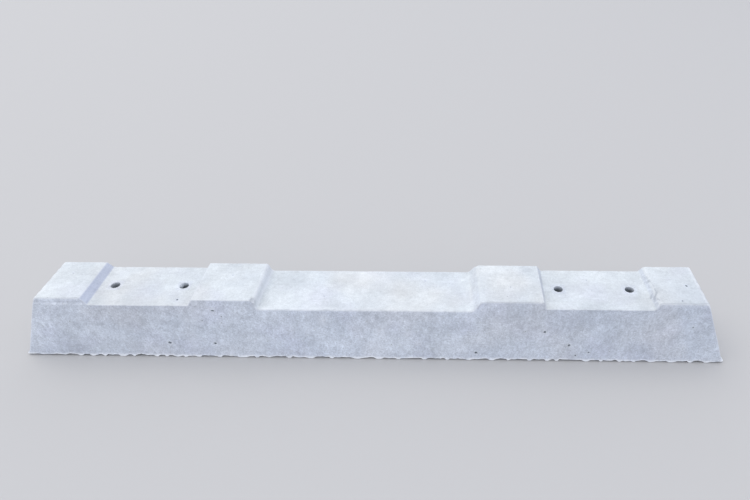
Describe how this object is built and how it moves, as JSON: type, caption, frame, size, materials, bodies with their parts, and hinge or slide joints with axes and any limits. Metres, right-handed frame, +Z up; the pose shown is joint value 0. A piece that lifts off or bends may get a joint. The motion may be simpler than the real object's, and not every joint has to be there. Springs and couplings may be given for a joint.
{
  "type": "concrete railway sleeper",
  "caption": "Cast concrete railway sleeper with drafted sides, sloping ends, a recessed bolted rail seat between raised shoulders near each end, and a lowered waist.",
  "frame": {"origin": "centre of the underside's bounding rectangle, on the plane that the sleeper rests on", "axes": "+X along the sleeper's length, +Y across it, +Z up from the underside to the rail seats"},
  "size_m": [1.5244, 0.1676, 0.15],
  "materials": {
    "concrete": "matte, bare mould-finished concrete, cool pale grey"
  },
  "bodies": {
    "root": {"sleeper": "concrete"}
  },
  "joints": []
}
